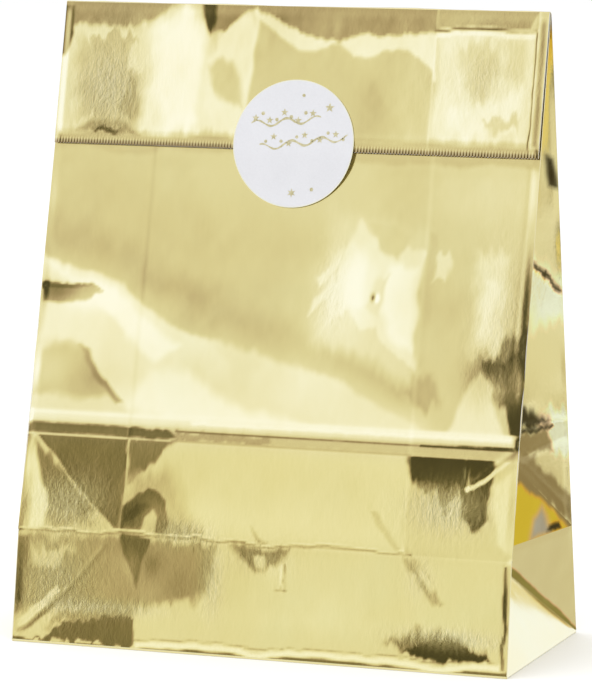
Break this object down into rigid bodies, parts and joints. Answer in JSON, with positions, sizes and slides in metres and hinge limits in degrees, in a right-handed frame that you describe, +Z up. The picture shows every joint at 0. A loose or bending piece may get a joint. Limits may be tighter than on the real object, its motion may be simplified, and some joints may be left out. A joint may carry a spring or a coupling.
{
  "type": "gift bag",
  "caption": "Flat-bottomed pleated paper gift bag in gold foil, its top folded over to the front and closed with a round seal.",
  "frame": {"origin": "on the floor under the middle of the base", "axes": "+Z up; +X to the right seen from the front; -Y towards the front, where the top is folded over"},
  "size_m": [0.25, 0.1064, 0.302],
  "materials": {
    "gold_foil_paper": "gloss",
    "seal_paper": "satin"
  },
  "bodies": {
    "back": {"back_wall_left": "gold_foil_paper", "back_wall_right": "gold_foil_paper", "gusset_front_left": "gold_foil_paper", "gusset_front_right": "gold_foil_paper", "gusset_rear_left": "gold_foil_paper", "gusset_rear_right": "gold_foil_paper"},
    "base": {"base_flap_front": "gold_foil_paper", "base_flap_rear": "gold_foil_paper", "base_tuck_left": "gold_foil_paper", "base_tuck_right": "gold_foil_paper"},
    "base_triangle_left_panel": {"base_triangle_left": "gold_foil_paper"},
    "base_triangle_right_panel": {"base_triangle_right": "gold_foil_paper"},
    "lower_front": {"lower_front_wall": "gold_foil_paper", "front_corner_fold_left": "gold_foil_paper", "front_corner_fold_right": "gold_foil_paper"},
    "upper_front": {"upper_front_wall": "gold_foil_paper"},
    "flap_inner": {"flap_inner_layer": "gold_foil_paper", "flap_inner_pleat_left": "gold_foil_paper", "flap_inner_pleat_right": "gold_foil_paper"},
    "flap_outer": {"flap_outer_layer": "gold_foil_paper", "flap_outer_pleat_left": "gold_foil_paper", "flap_outer_pleat_right": "gold_foil_paper"},
    "seal": {"seal_disc": "seal_paper"}
  },
  "joints": [
    {"name": "fold_flat", "type": "hinge", "parent": "back", "child": "base", "pos_m": [0, 0.053, 0.0012], "axis": [-1, 0, 0], "range_deg": [0, 80], "stiffness_Nm_per_rad": 0.6, "deforming": ["gusset_front_left", "gusset_front_right", "gusset_rear_left", "gusset_rear_right", "front_corner_fold_left", "front_corner_fold_right", "lower_front_wall", "base_triangle_left", "base_triangle_right"]},
    {"name": "upper_front_fold", "type": "hinge", "parent": "back", "child": "upper_front", "pos_m": [0, 0.01939, 0.30139], "axis": [1, 0, 0], "range_deg": [0, 20.58]},
    {"name": "lower_front_fold", "type": "hinge", "parent": "base", "child": "lower_front", "pos_m": [0, -0.053, 0.0012], "axis": [-1, 0, 0], "range_deg": [0, 79.8]},
    {"name": "base_triangle_left_fold", "type": "hinge", "parent": "base", "child": "base_triangle_left_panel", "pos_m": [-0.125, 0, 0.0009], "axis": [0, 1, 0], "range_deg": [0, 58.16]},
    {"name": "base_triangle_right_fold", "type": "hinge", "parent": "base", "child": "base_triangle_right_panel", "pos_m": [0.125, 0, 0.0009], "axis": [0, -1, 0], "range_deg": [0, 58.16]},
    {"name": "flap_open", "type": "hinge", "parent": "upper_front", "child": "flap_inner", "pos_m": [0, 0.01861, 0.30159], "axis": [-1, 0, 0], "range_deg": [0, 160]},
    {"name": "mouth_spread", "type": "hinge", "parent": "flap_inner", "child": "flap_outer", "pos_m": [0, 0.01745, 0.30189], "axis": [-1, 0, 0], "range_deg": [0, 32]},
    {"name": "seal_peel", "type": "hinge", "parent": "flap_outer", "child": "seal", "pos_m": [0, 0.00843, 0.26859], "axis": [-1, 0, 0], "range_deg": [0, 120]}
  ],
  "couplings": [
    {"joint": "upper_front_fold", "follows": "fold_flat", "ratio": 0.2572},
    {"joint": "lower_front_fold", "follows": "fold_flat", "ratio": 0.9975},
    {"joint": "base_triangle_left_fold", "follows": "fold_flat", "ratio": 0.72698},
    {"joint": "base_triangle_right_fold", "follows": "fold_flat", "ratio": 0.72698}
  ]
}
